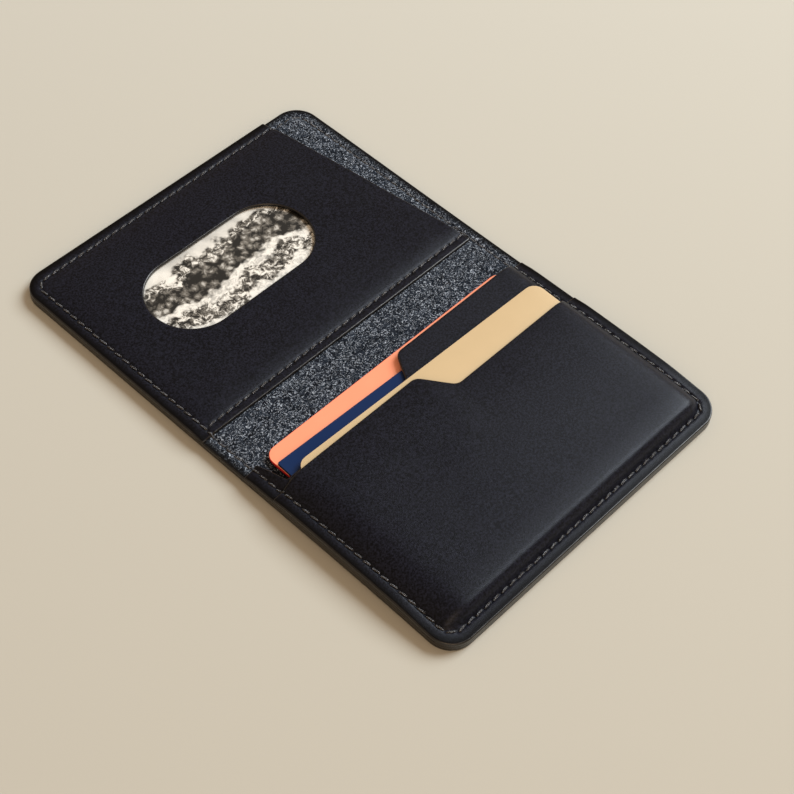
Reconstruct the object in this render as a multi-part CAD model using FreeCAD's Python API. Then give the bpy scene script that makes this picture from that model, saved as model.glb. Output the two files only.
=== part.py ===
import FreeCAD, Part
import math
import os
from FreeCAD import Vector

# A slim two-panel card wallet lying open. Millimetres, +Z up, Z = 0 on the table.
# X runs along the fold, +Y across it towards the window panel, -Y towards the card panel.
# The origin is under the middle of the open wallet, with the fold along the X axis.

# Cards of the standard size, and the print behind the window.
card_length = 85.6
card_height = 53.98
card_thickness = 0.76
card_corner = 3.18
navy_corner = 0.5           # the navy card is cut square
print_thickness = 0.25
print_corner = 1.0

# Leather and thread.
cover_thickness = 1.1
lining_thickness = 0.9
pocket_leather = 0.9
thread_width = 0.6
stitch_length = 2.2
stitch_pitch = 2.9
stitch_inset = 3.2          # outer edge to the row of stitches
window_row_inset = 2.5      # window pocket's fold edge to its row
groove_width = 1.2
inner_groove_depth = 0.25
suede_groove_depth = 0.4    # the thread sinks flush into the soft lining
outer_groove_depth = 0.35
inner_stitch_height = 0.4
outer_stitch_height = 0.3

# Clearances.
slip_gap = 0.1              # a card's or print's face to the next face
end_gap = 0.15              # a card's lower edge to the foot of its pocket
wrap_gap = 0.2              # rear pocket's side wall to the front pocket's
seam_room = 0.4             # a pocket's side wall to the stitch groove
foot_room = 0.3             # front pocket's foot wall to the stitch groove
butt_gap = 0.05             # rear pocket's lower edge to the front pocket's step
card_side_room = 1.5        # each side of a card inside the rear pocket
leaf_gap = 0.06             # between the spine and a panel

# Fold: one spine between two hinge lines.
spine_width = 9.7
spine_stitches = 3          # in the row at each end of the spine
window_pocket_start = 1.25  # spine's edge to the window pocket's fold edge

# How the cards stand in their pockets.
pocket_tilt = 1.05          # degrees, pockets rise towards the fold
rear_foot_rise = 3.6        # front pocket's foot to the rear pocket's foot
coral_raise = 6.8           # coral card stands this far above the foot
coral_to_spine = 2.62       # coral card's top edge to the spine
navy_turn = -1.5            # degrees, a card's slight turn in its pocket
gold_turn = -1.1
coral_offset = -0.1
navy_offset = -0.6
gold_offset = 1.5

# Pocket mouths, as distances below the top edge of the card that shows above them.
front_high_drop = 1.5
front_low_drop = 10.2
rear_high_drop = 1.4
rear_low_drop = 0.4
arm_drop = 1.0
front_cut_start = -1.5      # X where the front pocket's thumb cut leaves the high level
front_cut_run = 6.5
rear_cut_start = 2.0
rear_cut_run = -5.0
cut_radius = 3.0
arm_width = 4.3             # rear pocket's narrow arm at the left side
arm_slope_run = 1.7
arm_corner = 0.8            # where the arm meets the low edge

# Window panel.
window_length = 52.0
window_height = 25.0
window_offset_x = -6.5      # from the middle of the panel
window_offset_y = 1.95
mouth_inset_fold = 3.9      # pocket mouth to the side edge, at the fold
mouth_inset_outer = 13.5    # and at the outer edge
rim_bevel = 0.25
print_side_gap = 0.4
print_near_gap = 2.1        # print's edge to the pocket's wall beside the fold
print_far_gap = 2.9
print_mouth_gap = 0.7       # print's edge to the mouth at the print's upper corner

corner_radius = 7.0
cover_edge_round = 0.4
mould_round = 1.4           # rounding along the top of a moulded pocket
mould_corner = 3.0          # rounding of a moulded pocket's corners in plan

# Heights of the layers.
lining_top = cover_thickness + lining_thickness
margin_top = lining_top + pocket_leather           # one pocket sheet on the lining
double_top = margin_top + pocket_leather           # front pocket over the rear pocket

# Plan of the wallet, worked out from the card that it holds.
side_wall_room = stitch_inset + groove_width / 2 + seam_room
half_width = (card_length / 2 + card_side_room + 2 * pocket_leather + wrap_gap
              + side_wall_room)
spine_half = spine_width / 2
foot_wall_room = stitch_inset + groove_width / 2 + foot_room
half_depth = (spine_half + coral_to_spine + card_height + coral_raise + end_gap
              + rear_foot_rise + pocket_leather + foot_wall_room)
row_x = half_width - stitch_inset
row_y = half_depth - stitch_inset
row_radius = corner_radius - stitch_inset

# Moulded walls of the card pockets: half widths and feet.
front_outer = half_width - side_wall_room
front_inner = front_outer - pocket_leather
rear_outer = front_inner - wrap_gap
rear_inner = rear_outer - pocket_leather
front_foot = -(half_depth - foot_wall_room - pocket_leather)
rear_foot = front_foot + rear_foot_rise
rear_edge = front_foot + foot_room

# Heights in the tilted stack of cards, above the lining.
coral_z = slip_gap
navy_z = coral_z + card_thickness + slip_gap
rear_roof = navy_z + card_thickness + slip_gap
rear_skin = rear_roof + pocket_leather
gold_z = rear_skin + slip_gap
front_roof = gold_z + card_thickness + slip_gap
front_skin = front_roof + pocket_leather


def turned_reach(turn):
    """Half of a turned card's extent across the pocket."""
    angle = math.radians(abs(turn))
    return card_height / 2 * math.cos(angle) + card_length / 2 * math.sin(angle)


coral_y = rear_foot + end_gap + coral_raise + card_height / 2
navy_y = rear_foot + end_gap + turned_reach(navy_turn)
gold_y = front_foot + end_gap + turned_reach(gold_turn)
coral_top = coral_y + card_height / 2
gold_top = gold_y + card_height / 2
front_high = gold_top - front_high_drop
front_low = gold_top - front_low_drop
rear_high = coral_top - rear_high_drop
rear_low = gold_top - rear_low_drop
arm_top = coral_top - arm_drop

# Window pocket.
pocket_start = spine_half + window_pocket_start
print_roof = slip_gap + print_thickness + slip_gap
window_skin = print_roof + pocket_leather
window_left = -(half_width - side_wall_room - pocket_leather)
window_near = pocket_start + window_row_inset + groove_width / 2 + 2 * pocket_leather
window_far = half_depth - foot_wall_room - pocket_leather
window_x = window_offset_x
window_y = (pocket_start + half_depth) / 2 + window_offset_y

far_out = 20.0              # tools run this far past what they cut


def outline(points, radii):
    """Closed flat wire through the corner points, each rounded to its radius."""
    count = len(points)
    corners = []
    for i, point in enumerate(points):
        here = Vector(point[0], point[1], 0)
        before = Vector(*points[i - 1], 0) - here
        after = Vector(*points[(i + 1) % count], 0) - here
        before.normalize()
        after.normalize()
        radius = radii[i]
        if radius <= 0:
            corners.append((here, None, here))
            continue
        half = before.getAngle(after) / 2
        reach = radius / math.tan(half)
        middle = before + after
        middle.normalize()
        centre = here + middle * (radius / math.sin(half))
        corners.append((here + before * reach, centre - middle * radius, here + after * reach))
    edges = []
    for i, (start, crown, end) in enumerate(corners):
        if crown is not None:
            edges.append(Part.Arc(start, crown, end).toShape())
        following = corners[(i + 1) % count][0]
        if (following - end).Length > 1e-6:
            edges.append(Part.LineSegment(end, following).toShape())
    return Part.Wire(edges)


def prism(points, radii, low, high):
    """Upright solid over a rounded outline, from height low to height high."""
    if not isinstance(radii, (list, tuple)):
        radii = [radii] * len(points)
    solid = Part.Face(outline(points, radii)).extrude(Vector(0, 0, high - low))
    solid.translate(Vector(0, 0, low))
    return solid


def rectangle(left, right, near, far):
    return [(left, near), (right, near), (right, far), (left, far)]


def block(left, right, near, far, low, high):
    return prism(rectangle(left, right, near, far), 0, low, high)


def tilted(solid):
    """Turn a solid of the card stack about the foot of the rear pocket."""
    copy = solid.copy()
    copy.rotate(Vector(0, rear_foot, lining_top), Vector(1, 0, 0), pocket_tilt)
    return copy


def single(shape):
    """The one solid of a boolean's result."""
    solids = shape.removeSplitter().Solids
    if len(solids) != 1:
        raise ValueError("expected one solid, found %d" % len(solids))
    return solids[0]


wallet_plan = rectangle(-half_width, half_width, -half_depth, half_depth)


def plate(low, high):
    return prism(wallet_plan, corner_radius, low, high)


def groove_ring(low, high):
    """Band that follows the row of stitches round the wallet."""
    half = groove_width / 2
    outer = rectangle(-row_x - half, row_x + half, -row_y - half, row_y + half)
    inner = rectangle(-row_x + half, row_x - half, -row_y + half, row_y - half)
    return (prism(outer, row_radius + half, low, high)
            .cut(prism(inner, row_radius - half, low - 1, high + 1)))


# Plans of the three pockets.
def mouth_x(y):
    """X of the window pocket's slanted mouth at a given Y."""
    share = (y - pocket_start) / (half_depth - pocket_start)
    near = half_width - mouth_inset_fold
    far = half_width - mouth_inset_outer
    return near + (far - near) * share


window_plan = [(-half_width, pocket_start), (mouth_x(pocket_start), pocket_start),
               (mouth_x(half_depth), half_depth), (-half_width, half_depth)]
window_plan_radii = [0, 0, 0, corner_radius]
front_plan = [(-half_width, -half_depth), (half_width, -half_depth), (half_width, front_low),
              (front_cut_start + front_cut_run, front_low), (front_cut_start, front_high),
              (-half_width, front_high)]
front_plan_radii = [corner_radius, corner_radius, 0, cut_radius, cut_radius, 0]
arm_inner = -half_width + arm_width
rear_plan = [(-half_width, rear_edge), (half_width, rear_edge), (half_width, rear_high),
             (rear_cut_start, rear_high), (rear_cut_start + rear_cut_run, rear_low),
             (arm_inner + arm_slope_run, rear_low), (arm_inner, arm_top),
             (-half_width, arm_top)]
rear_plan_radii = [0, 0, 0, cut_radius, cut_radius, arm_corner, 0, 0]


def cover_sheet():
    sheet = plate(0, cover_thickness)
    rim = [e for e in sheet.Edges if e.BoundBox.ZMax < cover_thickness / 2]
    sheet = sheet.makeFillet(cover_edge_round, rim)
    return sheet.cut(groove_ring(-1, outer_groove_depth))


def lining_sheet():
    groove = groove_ring(lining_top - suede_groove_depth, lining_top + 1)
    groove = groove.cut(prism(window_plan, window_plan_radii, 0, far_out))
    groove = groove.cut(prism(rear_plan, rear_plan_radii, 0, far_out))
    groove = groove.cut(prism(front_plan, front_plan_radii, 0, far_out))
    return plate(cover_thickness, lining_top).cut(groove)


def moulded(half, foot, roof):
    """Raised block of a card pocket, rounded along its top, open towards the fold."""
    points = rectangle(-half, half, foot, far_out)
    body = prism(points, [mould_corner, mould_corner, 0, 0], lining_top - 1, lining_top + roof)
    top = [e for e in body.Edges
           if e.BoundBox.ZMin > lining_top + roof - 0.01 and e.BoundBox.YMin < far_out - 0.01]
    return tilted(body.makeFillet(mould_round, top))


def card_room(half, foot, roof):
    """Space for cards inside a pocket, through its mouth."""
    return tilted(block(-half, half, foot, far_out + 1, lining_top - 2, lining_top + roof))


def rear_card_pocket():
    plan = prism(rear_plan, rear_plan_radii, lining_top, far_out)
    sheet = plate(lining_top, margin_top).fuse(moulded(rear_outer, rear_foot - pocket_leather,
                                                       rear_skin))
    sheet = sheet.common(plan).cut(card_room(rear_inner, rear_foot, rear_roof))
    groove = groove_ring(margin_top - inner_groove_depth, margin_top + 1)
    groove = groove.cut(prism(front_plan, front_plan_radii, 0, far_out))
    return single(sheet.cut(groove))


def front_card_pocket():
    plan = prism(front_plan, front_plan_radii, lining_top, far_out)
    step = rear_edge - butt_gap
    over = block(-half_width, half_width, step - pocket_leather, far_out, margin_top, double_top)
    on_lining = block(-half_width, half_width, -half_depth, step, lining_top, margin_top)
    sheet = over.fuse(on_lining).fuse(moulded(front_outer, front_foot - pocket_leather,
                                              front_skin).common(
        block(-half_width, half_width, -half_depth, far_out, lining_top, far_out)))
    sheet = sheet.common(plan).cut(card_room(front_inner, front_foot, front_roof))
    # Beside the card room the raised wall stands on the rear pocket, not in it.
    beside = block(-half_width, half_width, step, far_out, 0, margin_top)
    sheet = sheet.cut(beside)
    high_groove = groove_ring(double_top - inner_groove_depth, double_top + 1)
    low_groove = groove_ring(margin_top - inner_groove_depth, far_out).common(
        block(-half_width, half_width, -half_depth, step - pocket_leather, 0, far_out))
    return single(sheet.cut(high_groove).cut(low_groove))


def window_pocket():
    plan = prism(window_plan, window_plan_radii, lining_top, far_out)
    outer = rectangle(window_left - pocket_leather, half_width + far_out,
                      window_near - pocket_leather, window_far + pocket_leather)
    raised = prism(outer, [mould_corner, 0, 0, mould_corner], lining_top,
                   lining_top + window_skin)
    sheet = plate(lining_top, margin_top).fuse(raised).common(plan)
    room = block(window_left, half_width + far_out, window_near, window_far, 0,
                 lining_top + print_roof)
    sheet = sheet.cut(room)
    half_long = window_length / 2
    half_tall = window_height / 2
    opening = rectangle(window_x - half_long, window_x + half_long,
                        window_y - half_tall, window_y + half_tall)
    sheet = sheet.cut(prism(opening, half_tall - 0.01, 0, far_out))
    rim = [e for e in sheet.Edges
           if e.BoundBox.ZMin > lining_top + window_skin - 0.01
           and abs(e.CenterOfMass.x - window_x) <= half_long
           and abs(e.CenterOfMass.y - window_y) <= half_tall]
    sheet = sheet.makeChamfer(rim_bevel, rim)
    sheet = sheet.cut(groove_ring(margin_top - inner_groove_depth, margin_top + 1))
    row = pocket_start + window_row_inset
    slot = block(-row_x, half_width, row - groove_width / 2, row + groove_width / 2,
                 margin_top - inner_groove_depth, margin_top + 1)
    return single(sheet.cut(slot))


def card(x, y, z, turn, corner):
    points = rectangle(-card_length / 2, card_length / 2, -card_height / 2, card_height / 2)
    solid = prism(points, corner, 0, card_thickness)
    solid.rotate(Vector(0, 0, 0), Vector(0, 0, 1), turn)
    solid.translate(Vector(x, y, lining_top + z))
    return tilted(solid)


def window_print():
    near = window_near + print_near_gap
    far = window_far - print_far_gap
    points = rectangle(window_left + print_side_gap, mouth_x(far) - print_mouth_gap, near, far)
    low = lining_top + slip_gap
    return prism(points, print_corner, low, low + print_thickness)


def stitch(x, y, heading, seat, height, up):
    """One stitch: flat on its seat, round on the side that shows."""
    half = thread_width / 2
    side = height - half
    start = -stitch_length / 2
    points = [Vector(start, -half, 0), Vector(start, half, 0), Vector(start, half, side),
              Vector(start, 0, height), Vector(start, -half, side)]
    edges = [Part.LineSegment(points[0], points[1]).toShape(),
             Part.Arc(points[2], points[3], points[4]).toShape()]
    if side > 1e-6:
        edges.insert(1, Part.LineSegment(points[1], points[2]).toShape())
        edges.append(Part.LineSegment(points[4], points[0]).toShape())
    solid = Part.Face(Part.Wire(edges)).extrude(Vector(stitch_length, 0, 0))
    if not up:
        solid.rotate(Vector(0, 0, 0), Vector(1, 0, 0), 180)
    solid.rotate(Vector(0, 0, 0), Vector(0, 0, 1), heading)
    solid.translate(Vector(x, y, seat))
    return solid


def edge_row(side):
    """Places of the stitches round one panel: up a side, across and down the other."""
    start = spine_half + (stitch_pitch - stitch_length) / 2 + stitch_length / 2
    leg = row_y - row_radius - start
    turn = row_radius * math.pi / 2
    across = 2 * (row_x - row_radius)
    total = 2 * leg + 2 * turn + across
    count = round(total / stitch_pitch)
    places = []
    for i in range(count + 1):
        run = total * i / count
        mirror = -1
        if run > total / 2:
            run = total - run
            mirror = 1
        if run <= leg:
            x, y, heading = row_x, start + run, 90.0
        elif run <= leg + turn:
            angle = (run - leg) / row_radius
            x = row_x - row_radius + row_radius * math.cos(angle)
            y = row_y - row_radius + row_radius * math.sin(angle)
            heading = 90 + math.degrees(angle)
        else:
            x, y, heading = row_x - row_radius - (run - leg - turn), row_y, 180.0
        if mirror < 0:
            heading = 180 - heading
        places.append((mirror * x, side * y, heading * side))
    return places


def layer_top(x, y):
    """Height of the leather at a place in the stitched margin."""
    if y > pocket_start:
        return margin_top if x < mouth_x(y) else lining_top
    if y < rear_edge - butt_gap - pocket_leather:
        return margin_top
    if y < (front_high if x < 0 else front_low):
        return double_top
    if y < (arm_top if x < 0 else rear_high):
        return margin_top
    return lining_top


def inner_stitch(x, y, heading):
    """A stitch on the inside, seated in the groove of the highest sheet under it."""
    reach = stitch_length / 2 + 0.1
    dx = reach * math.cos(math.radians(heading))
    dy = reach * math.sin(math.radians(heading))
    top = max(layer_top(x + k * dx, y + k * dy) for k in (-1, 0, 1))
    depth = suede_groove_depth if top == lining_top else inner_groove_depth
    return stitch(x, y, heading, top - depth, inner_stitch_height, True)


def outer_stitch(x, y, heading):
    return stitch(x, y, heading, outer_groove_depth, outer_stitch_height, False)


def edge_stitching(side):
    solids = []
    for x, y, heading in edge_row(side):
        solids.append(inner_stitch(x, y, heading))
        solids.append(outer_stitch(x, y, heading))
    return Part.makeCompound(solids)


def spine_stitching():
    solids = []
    for index in range(spine_stitches):
        y = (index - (spine_stitches - 1) / 2) * stitch_pitch
        for x in (-row_x, row_x):
            solids.append(inner_stitch(x, y, 90))
            solids.append(outer_stitch(x, y, 90))
    return Part.makeCompound(solids)


def straight_row(left, right, y, seat):
    count = int((right - left - stitch_length) / stitch_pitch)
    first = (left + right - count * stitch_pitch) / 2
    return Part.makeCompound([stitch(first + i * stitch_pitch, y, 0, seat, inner_stitch_height, True)
                              for i in range(count + 1)])


def slice_between(sheet, near, far):
    return single(sheet.common(block(-half_width - 1, half_width + 1, near, far, -1, far_out)))


def build():
    parts = {}
    panel_start = spine_half + leaf_gap / 2
    spine_end = spine_half - leaf_gap / 2
    sheets = {"outer_cover": cover_sheet(), "lining": lining_sheet()}
    for name, sheet in sheets.items():
        parts[name + "_card_half"] = slice_between(sheet, -half_depth - 1, -panel_start)
        parts[name + "_window_half"] = slice_between(sheet, panel_start, half_depth + 1)
        parts[name + "_spine"] = slice_between(sheet, -spine_end, spine_end)
    parts["rear_card_pocket"] = rear_card_pocket()
    parts["front_card_pocket"] = front_card_pocket()
    parts["window_pocket"] = window_pocket()
    parts["coral_card"] = card(coral_offset, coral_y, coral_z, 0, card_corner)
    parts["navy_card"] = card(navy_offset, navy_y, navy_z, navy_turn, navy_corner)
    parts["gold_card"] = card(gold_offset, gold_y, gold_z, gold_turn, card_corner)
    parts["window_print"] = window_print()
    parts["stitching_card_half"] = edge_stitching(-1)
    parts["stitching_window_half"] = edge_stitching(1)
    parts["stitching_spine"] = spine_stitching()
    row = pocket_start + window_row_inset
    parts["stitching_window_edge"] = straight_row(-row_x + groove_width, mouth_x(row), row,
                                                  margin_top - inner_groove_depth)
    seam = (rear_edge + rear_foot - pocket_leather) / 2
    parts["stitching_rear_pocket"] = straight_row(-rear_inner, rear_inner, seam, margin_top)
    return parts


os.makedirs("parts", exist_ok=True)
for node, shape in build().items():
    if not shape.isValid():
        raise ValueError(node + " is not valid")
    shape.exportStep("parts/%s.step" % node)
    box = shape.BoundBox
    print("%-24s %3d solids  %8.1f mm3  x %6.2f %6.2f  y %6.2f %6.2f  z %5.2f %5.2f"
          % (node, len(shape.Solids), shape.Volume, box.XMin, box.XMax, box.YMin, box.YMax,
             box.ZMin, box.ZMax))
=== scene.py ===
import math

import bpy
import numpy as np
from mathutils import Matrix, Vector
from mathutils.geometry import delaunay_2d_cdt


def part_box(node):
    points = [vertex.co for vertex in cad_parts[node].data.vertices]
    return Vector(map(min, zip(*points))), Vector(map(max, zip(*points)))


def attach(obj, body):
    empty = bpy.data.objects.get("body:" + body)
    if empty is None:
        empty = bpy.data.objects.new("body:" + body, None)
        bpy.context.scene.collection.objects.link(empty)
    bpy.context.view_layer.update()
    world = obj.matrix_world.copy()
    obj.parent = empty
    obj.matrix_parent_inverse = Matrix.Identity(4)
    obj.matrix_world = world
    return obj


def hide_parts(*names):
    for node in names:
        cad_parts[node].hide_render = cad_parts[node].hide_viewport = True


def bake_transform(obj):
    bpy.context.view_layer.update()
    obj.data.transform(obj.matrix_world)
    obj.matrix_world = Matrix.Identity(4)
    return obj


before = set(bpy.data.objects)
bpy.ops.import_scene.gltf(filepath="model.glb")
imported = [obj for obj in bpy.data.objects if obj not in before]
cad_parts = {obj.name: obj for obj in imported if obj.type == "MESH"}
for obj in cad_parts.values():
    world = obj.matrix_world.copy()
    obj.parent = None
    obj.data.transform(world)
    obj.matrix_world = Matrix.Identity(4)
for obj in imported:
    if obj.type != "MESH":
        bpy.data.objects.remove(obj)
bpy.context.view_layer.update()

# A slim leather card wallet lying open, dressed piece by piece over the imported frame.
# Shapes are worked out in millimetres and written to the meshes in metres.
perMetre = 1000.0


def nodeBox(name):
    # Lowest and highest corner of a CAD node, in millimetres.
    low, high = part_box(name)
    return np.array(low) * perMetre, np.array(high) * perMetre


# Sizes shared by all the leather.

size = {
    "corner": 7.0,
    "cover": 1.1,
    "lining": 0.9,
    "pocket": 0.9,
    "rowInset": 3.2,
    "rowInsetWindow": 2.5,
    "pitch": 2.9,
    "cutRadius": 3.0,               # corners of the thumb cut-outs
    "endRadius": 0.5,               # corners where a mouth meets the wallet's edge
    "tilt": math.radians(1.05),     # rise of the card stack towards the fold
    "tiltStart": -68.4,             # y where that rise is zero
    "edgeRound": 0.32,              # rounding of an edge that shows
    "seamRound": 0.06,              # rounding of an edge that lies against a sheet
    "underRound": 0.4,              # rounding of the cover's outer edge
}
panelLow, panelHigh = nodeBox("lining_card_half")
halfWidth = panelHigh[0]
halfDepth = -panelLow[1]
spineHalf = -panelHigh[1]
liningTop = size["cover"] + size["lining"]
rowX = halfWidth - size["rowInset"]
rowY = halfDepth - size["rowInset"]
rowRadius = size["corner"] - size["rowInset"]
windowLow, windowHigh = nodeBox("window_pocket")
rearLow, rearHigh = nodeBox("rear_card_pocket")
windowStart = windowLow[1]
rearEdge = rearLow[1]

# Mouths of the two card pockets, and the slanted mouth of the window pocket: levels are places along y, and
# a cut goes from one x to another.
mouth = {
    "frontHigh": nodeBox("front_card_pocket")[1][1],
    "frontLow": -27.25,
    "frontCut": (-1.5, 5.0),
    "rearHigh": -8.87,
    "rearLow": -17.45,
    "rearCut": (2.0, -3.0),
    "armWidth": 4.3,
    "armSlope": 1.7,
    "armCorner": 0.8,
    "armTop": rearHigh[1],
    "windowNear": windowHigh[0],
    "windowSlant": 9.6,
}

# Lift of the leather above the surface that it lies on; the stack of cards has one even lift.
arch = {"fold": 0.70, "slope": -0.933, "bend": 1.2, "stack": 0.5, "easeSide": 8.0, "easeMouth": 10.0}


def archLift(y):
    # (1 - u^2) (fold + slope u + bend u^2) with u the share of the half depth: none at the outer edges.
    u = np.clip(y / halfDepth, -1, 1)
    return (1 - u * u) * (arch["fold"] + arch["slope"] * u + arch["bend"] * u * u)


def smooth(t):
    # 3 t^2 - 2 t^3 between 0 and 1.
    t = np.clip(t, 0, 1)
    return t * t * (3 - 2 * t)


def domeShare(shares, curve=3.0, power=2.0):
    # 1 - m^curve, m the power norm of what each share lacks to reach 1: a swell with round corners.
    lack = sum(np.clip(1 - share, 0, None) ** power for share in shares) ** (1 / power)
    return 1 - np.clip(lack, 0, 1) ** curve


def mouthX(y):
    # X of the window pocket's slanted mouth: its near end less the slant times the share of the way across.
    return mouth["windowNear"] - mouth["windowSlant"] * (y - windowStart) / (halfDepth - windowStart)


def frontLine(x):
    # Y of the front pocket's mouth: high at the left, low at the right, a smooth step between.
    start, end = mouth["frontCut"]
    drop = mouth["frontHigh"] - mouth["frontLow"]
    return mouth["frontHigh"] - drop * smooth((x - start) / (end - start))


def rearLine(x):
    # Y of the rear pocket's mouth at the two margins: the arm at the left, the high edge at the right.
    return np.where(x < 0, mouth["armTop"], mouth["rearHigh"])


def insetOf(x, y):
    # Distance inwards from the wallet's outline: corner radius - distance to the corner-centre rectangle.
    qx = np.abs(x) - (halfWidth - size["corner"])
    qy = np.abs(y) - (halfDepth - size["corner"])
    outside = np.hypot(np.clip(qx, 0, None), np.clip(qy, 0, None))
    return size["corner"] - outside - np.minimum(np.maximum(qx, qy), 0)


# Heights of the sheets, each as a function of the place.

# How far in from the stitches each swell and each crown reaches its full height, from each of its borders.
rise = {
    "front": {"left": 9.0, "right": 6.2, "foot": 3.3},
    "frontCrown": {"left": 14.0, "right": 12.0, "foot": 8.5},
    "rear": {"left": 5.5, "right": 5.5, "foot": 3.6},
    "window": {"left": 7.5, "near": 7.5, "far": 7.5},
    "windowCrown": {"left": 16.0, "near": 14.0, "far": 14.0, "mouth": 12.0},
    "start": 0.2,                   # from the stitches to where a swell begins
    "rearFoot": 1.6,                # from the foot of the rear swell to where the stack's rise is zero
}
crown = {"front": 0.55, "frontMouth": 7.0, "window": 0.22, "curve": 2.0}
lip = {"lift": 0.18, "reach": 3.5}  # the window pocket's free edge
skin = {
    "rear": 2.72,                   # tops above the lining
    "cards": 3.66,
    "front": 4.58,
    "window": 1.35,
    "pared": 0.2,                   # the front pocket is thinner by this at its foot
    "paredRun": 40.0,
    "thinnest": 0.12,
}
cardRoom = {"x": 45.3, "foot": 72.3}

# Paring of the stitched margins, as shares of the leather's thickness and lengths.
skive = {
    "heel": 0.35,                   # left at the rear pocket's foot
    "run": 14.0,
    "shelf": 0.15,                  # filled under the front pocket between that foot and the wallet's edge
    "shelfGain": 0.2,
    "mouth": 0.5,                   # lost where a mouth meets the wallet's edge
    "mouthRun": 3.0,
    "mouthStart": 0.5,
    "mouthWidth": 2.5,
    "outside": 0.1,                 # how far past the rear pocket's foot the fill begins
    "inside": 0.01,                 # how far within that foot its own leather is measured
}
raisedX = rowX - rise["start"]
raisedFoot = rowY - rise["start"]


def skived(y):
    # Thickness under the front pocket's margin: heel + (1 - heel) smooth along the rear pocket, and shelf +
    # gain smooth between its foot and the wallet's edge.
    inside = skive["heel"] + (1 - skive["heel"]) * smooth((y - rearEdge) / skive["run"])
    beyond = skive["shelf"] + skive["shelfGain"] * smooth((y + halfDepth) / (halfDepth + rearEdge))
    return size["pocket"] * np.where(y > rearEdge, inside, beyond)


def thinned(x, fromMouth):
    # Share of a sheet's thickness that is left: 1 - loss e^-(distance from the mouth)^2, past the stitches.
    near = np.exp(-(np.clip(fromMouth, 0, None) / skive["mouthRun"]) ** 2)
    return 1 - skive["mouth"] * near * smooth((np.abs(x) - rowX + skive["mouthStart"]) / skive["mouthWidth"])


def plateau(y, height):
    # Height of a tilted layer of the card stack: lining + layer + tan(tilt) times the way from its start.
    return liningTop + height + math.tan(size["tilt"]) * (y - size["tiltStart"])


def linedLift(x, y):
    # The arch, except that under the cards it stays below their stack: arch + (lower of both - arch) share.
    low = np.minimum(archLift(y), plateau(y, 0) - liningTop + arch["stack"])
    fromStitches = [x + rowX, rowX - x, y + rowY]
    share = domeShare([distance / arch["easeSide"] for distance in fromStitches]
                      + [(mouth["frontHigh"] - y) / arch["easeMouth"]])
    return archLift(y) + (low - archLift(y)) * share


def frontShares(x, y, widths):
    # Distance from each border of the front swell, as a share of its width there.
    fromBorders = {"left": x + raisedX, "right": raisedX - x, "foot": y + raisedFoot}
    return [fromBorders[side] / width for side, width in widths.items()]


def frontTop(x, y):
    # Margin + (plateau - margin) share + lift + crown, where the lift goes from the arch's to the stack's.
    margin = liningTop + skived(y) + size["pocket"] * thinned(x, frontLine(x) - y)
    share = domeShare(frontShares(x, y, rise["front"]))
    middle = domeShare(frontShares(x, y, rise["frontCrown"]), crown["curve"])
    middle *= 1 - np.exp(-np.clip(frontLine(x) - y, 0, None) / crown["frontMouth"])
    lift = archLift(y) + (arch["stack"] - archLift(y)) * share
    height = plateau(y, skin["front"])
    height -= skin["pared"] * (1 - smooth((y - size["tiltStart"]) / skin["paredRun"]))
    return margin + (height - margin) * share + lift + crown["front"] * middle


def frontBottom(x, y):
    # A sheet's thickness below the top, or the rear pocket's top where that is higher. Over the cards it is
    # thinned sooner than pressed into them, and in the foot's margin it fills down to the lining.
    top = frontTop(x, y)
    below = top - size["pocket"]
    roof = plateau(y, skin["cards"]) + arch["stack"]
    draped = np.minimum(top - skin["thinnest"], np.maximum(below, roof))
    overCards = (np.abs(x) < cardRoom["x"]) & (y > -cardRoom["foot"])
    inFootMargin = (y < rearEdge - skive["outside"]) & (insetOf(x, y) < size["rowInset"])
    beside = np.where(y < rearEdge, below, np.maximum(below, rearTop(x, y)))
    return np.where(inFootMargin, liningTop + archLift(y), np.where(overCards, draped, beside))


def rearTop(x, y):
    # The same as the front pocket's, one layer lower and with no crown.
    share = domeShare([(x + raisedX) / rise["rear"]["left"], (raisedX - x) / rise["rear"]["right"],
                       (y - size["tiltStart"] + rise["rearFoot"]) / rise["rear"]["foot"]])
    margin = liningTop + skived(np.maximum(y, rearEdge + skive["inside"])) * thinned(x, rearLine(x) - y)
    lift = archLift(y) + (arch["stack"] - archLift(y)) * share
    return margin + (plateau(y, skin["rear"]) - margin) * share + lift


def rearBottom(x, y):
    # A sheet's thickness below the top, and never below the lining.
    return np.maximum(rearTop(x, y) - size["pocket"], liningTop + linedLift(x, y))


def windowTop(x, y):
    # Margin + small rise inside the stitches + crown + a lip that lifts along the slanted mouth + arch.
    near = windowStart + size["rowInsetWindow"] + rise["start"]
    fromBorders = {"left": x + raisedX, "near": y - near, "far": raisedFoot - y, "mouth": mouthX(y) - x}
    share = domeShare([fromBorders[side] / width for side, width in rise["window"].items()])
    middle = domeShare([fromBorders[side] / width for side, width in rise["windowCrown"].items()],
                       crown["curve"])
    edge = np.exp(-np.clip(fromBorders["mouth"], 0, None) / lip["reach"]) * share
    margin = liningTop + size["pocket"] * thinned(x, y - windowStart)
    height = margin + (liningTop + skin["window"] - margin) * share
    return height + crown["window"] * middle + lip["lift"] * edge + archLift(y)


def windowBottom(x, y):
    # A sheet's thickness below the top.
    return windowTop(x, y) - size["pocket"]


def flatTop(height):
    # A sheet that only follows the wallet's own lift.
    return lambda x, y: height + linedLift(x, y)


def underside(x, y):
    # Depth of the cover's outer face, counted downwards: minus the wallet's own lift.
    return -linedLift(x, y)


def layerTop(x, y):
    # Highest leather in the stitched margin; the thread sinks deeper into the soft lining.
    z = liningTop - thread["liningSink"] + archLift(y)
    z = np.where(y < rearLine(x), rearTop(x, y), z)
    z = np.where(y < frontLine(x), frontTop(x, y), z)
    return np.where((y > windowStart) & (x < mouthX(y)), windowTop(x, y), z)


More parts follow.
